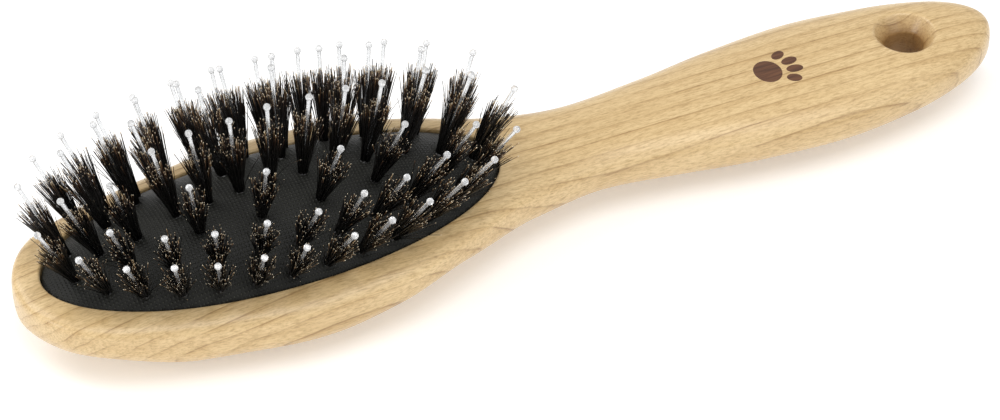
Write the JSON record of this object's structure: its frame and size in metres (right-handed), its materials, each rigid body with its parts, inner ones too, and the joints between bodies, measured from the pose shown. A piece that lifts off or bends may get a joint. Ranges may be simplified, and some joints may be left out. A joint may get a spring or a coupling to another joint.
{
  "type": "bristle brush",
  "caption": "Oval pet grooming brush: one-piece wooden head and handle, domed rubber air cushion, and rings of bristle tufts with ball-ended pins.",
  "frame": {"origin": "bottom centre of the bounding box, under the middle of the brush, which lies on its back", "axes": "+X from the head towards the end of the handle, +Z the way the bristles point, +Y across the brush"},
  "size_m": [0.225, 0.0615, 0.0478],
  "materials": {
    "honey_wood": "satin lacquered solid wood",
    "black_rubber": "matte knurled rubber",
    "dark_bristle": "natural bristle, black to golden brown at the tips",
    "clear_pin": "clear nylon with a smooth ball end"
  },
  "bodies": {
    "handle": {"wooden_body": "honey_wood", "rubber_cushion": "black_rubber"},
    "inner_ring": {"inner_tuft_01": "dark_bristle", "inner_tuft_02": "dark_bristle", "inner_tuft_03": "dark_bristle", "inner_tuft_04": "dark_bristle", "inner_tuft_05": "dark_bristle", "inner_tuft_06": "dark_bristle", "inner_tuft_07": "dark_bristle", "inner_tuft_08": "dark_bristle", "inner_tuft_09": "dark_bristle", "inner_tuft_10": "dark_bristle"},
    "centre_row": {"centre_tufts": "dark_bristle"},
    "middle_ring": {"middle_tuft_01": "dark_bristle", "middle_tuft_02": "dark_bristle", "middle_tuft_03": "dark_bristle", "middle_tuft_04": "dark_bristle", "middle_tuft_05": "dark_bristle", "middle_tuft_06": "dark_bristle", "middle_tuft_07": "dark_bristle", "middle_tuft_08": "dark_bristle", "middle_tuft_09": "dark_bristle", "middle_tuft_10": "dark_bristle", "middle_tuft_11": "dark_bristle", "middle_tuft_12": "dark_bristle", "middle_tuft_13": "dark_bristle", "middle_tuft_14": "dark_bristle", "middle_tuft_15": "dark_bristle", "middle_tuft_16": "dark_bristle", "middle_tuft_17": "dark_bristle", "middle_tuft_18": "dark_bristle", "middle_tuft_19": "dark_bristle", "middle_tuft_20": "dark_bristle"},
    "outer_ring": {"outer_tuft_01": "dark_bristle", "outer_tuft_02": "dark_bristle", "outer_tuft_03": "dark_bristle", "outer_tuft_04": "dark_bristle", "outer_tuft_05": "dark_bristle", "outer_tuft_06": "dark_bristle", "outer_tuft_07": "dark_bristle", "outer_tuft_08": "dark_bristle", "outer_tuft_09": "dark_bristle", "outer_tuft_10": "dark_bristle", "outer_tuft_11": "dark_bristle", "outer_tuft_12": "dark_bristle", "outer_tuft_13": "dark_bristle", "outer_tuft_14": "dark_bristle", "outer_tuft_15": "dark_bristle", "outer_tuft_16": "dark_bristle", "outer_tuft_17": "dark_bristle", "outer_tuft_18": "dark_bristle", "outer_tuft_19": "dark_bristle", "outer_tuft_20": "dark_bristle", "outer_tuft_21": "dark_bristle", "outer_tuft_22": "dark_bristle", "outer_tuft_23": "dark_bristle", "outer_tuft_24": "dark_bristle", "outer_tuft_25": "dark_bristle", "outer_tuft_26": "dark_bristle", "outer_tuft_27": "dark_bristle"}
  },
  "joints": [
    {"name": "inner_ring_press", "type": "slide", "parent": "handle", "child": "inner_ring", "axis": [0, 0, -1], "range_m": [0, 0.0024], "stiffness_N_per_m": 1500, "deforming": ["rubber_cushion"]},
    {"name": "centre_row_press", "type": "slide", "parent": "handle", "child": "centre_row", "axis": [0, 0, -1], "range_m": [0, 0.00276]},
    {"name": "middle_ring_press", "type": "slide", "parent": "handle", "child": "middle_ring", "axis": [0, 0, -1], "range_m": [0, 0.00144]},
    {"name": "outer_ring_press", "type": "slide", "parent": "handle", "child": "outer_ring", "axis": [0, 0, -1], "range_m": [0, 0.0006]}
  ],
  "couplings": [
    {"joint": "centre_row_press", "follows": "inner_ring_press", "ratio": 1.15},
    {"joint": "middle_ring_press", "follows": "inner_ring_press", "ratio": 0.6},
    {"joint": "outer_ring_press", "follows": "inner_ring_press", "ratio": 0.25}
  ]
}
